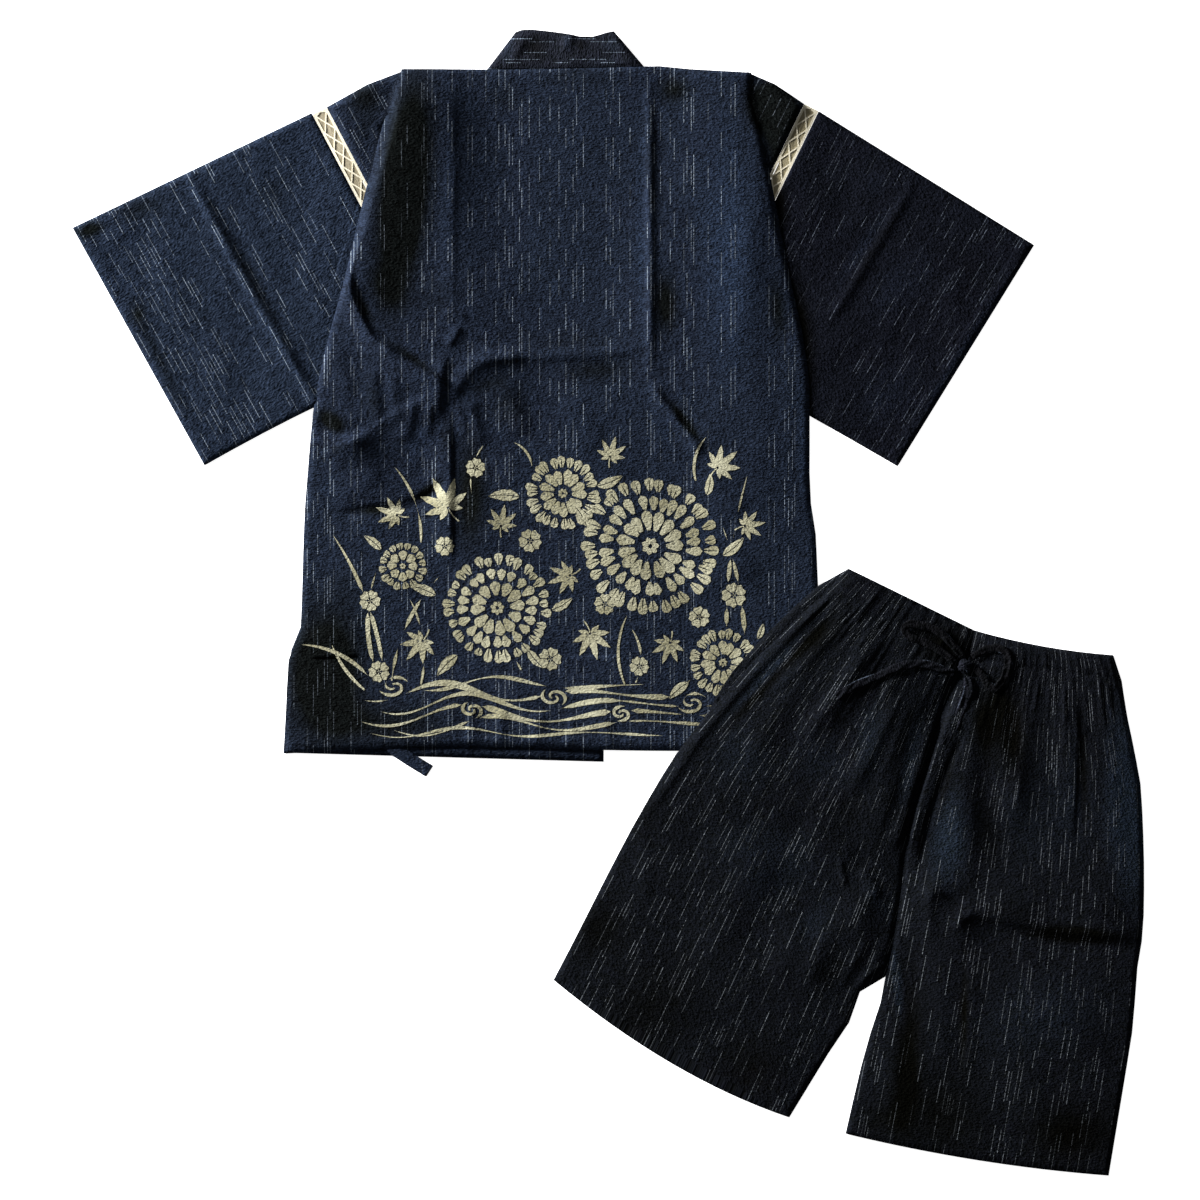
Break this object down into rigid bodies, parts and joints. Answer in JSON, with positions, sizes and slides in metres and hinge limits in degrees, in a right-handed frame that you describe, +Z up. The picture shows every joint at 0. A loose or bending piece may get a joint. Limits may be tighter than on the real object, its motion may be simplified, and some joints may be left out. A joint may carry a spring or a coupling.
{
  "type": "jinbei set",
  "caption": "Japanese jinbei set laid flat: a short-sleeved wrap jacket seen from the back, with lattice lace at the armholes, and drawstring shorts overlapping its corner.",
  "frame": {"origin": "centre of the whole set's outline, on the surface that it lies on", "axes": "+Z up from the surface, +Y from the jacket's hem towards its collar, +X to the right as seen from above"},
  "size_m": [1.178, 1.2599, 0.0135],
  "materials": {
    "navy_cotton": "matt crinkled shijira cotton with pale woven dashes",
    "cream_lace": "cream lattice lace tape, cotton",
    "deep_navy_cotton": "matt crinkled shijira cotton with pale woven dashes",
    "drawstring_cotton": "flat sewn cotton drawstring"
  },
  "bodies": {
    "root": {"jacket_back": "navy_cotton", "jacket_collar": "navy_cotton", "jacket_front_inner": "navy_cotton", "jacket_front_outer": "navy_cotton", "sleeve_left": "navy_cotton", "sleeve_right": "navy_cotton", "tie_front_inner": "navy_cotton", "tie_front_outer": "navy_cotton", "tie_side_inner": "navy_cotton", "tie_side_outer": "navy_cotton", "lace_back_left": "cream_lace", "lace_back_right": "cream_lace", "lace_front_left": "cream_lace", "lace_front_right": "cream_lace", "shorts_back_left": "deep_navy_cotton", "shorts_back_right": "deep_navy_cotton", "shorts_front_left": "deep_navy_cotton", "shorts_front_right": "deep_navy_cotton", "drawstring_knot": "drawstring_cotton", "drawstring_loop_left": "drawstring_cotton", "drawstring_loop_right": "drawstring_cotton", "drawstring_tail_down": "drawstring_cotton", "drawstring_tail_left": "drawstring_cotton"}
  },
  "joints": []
}
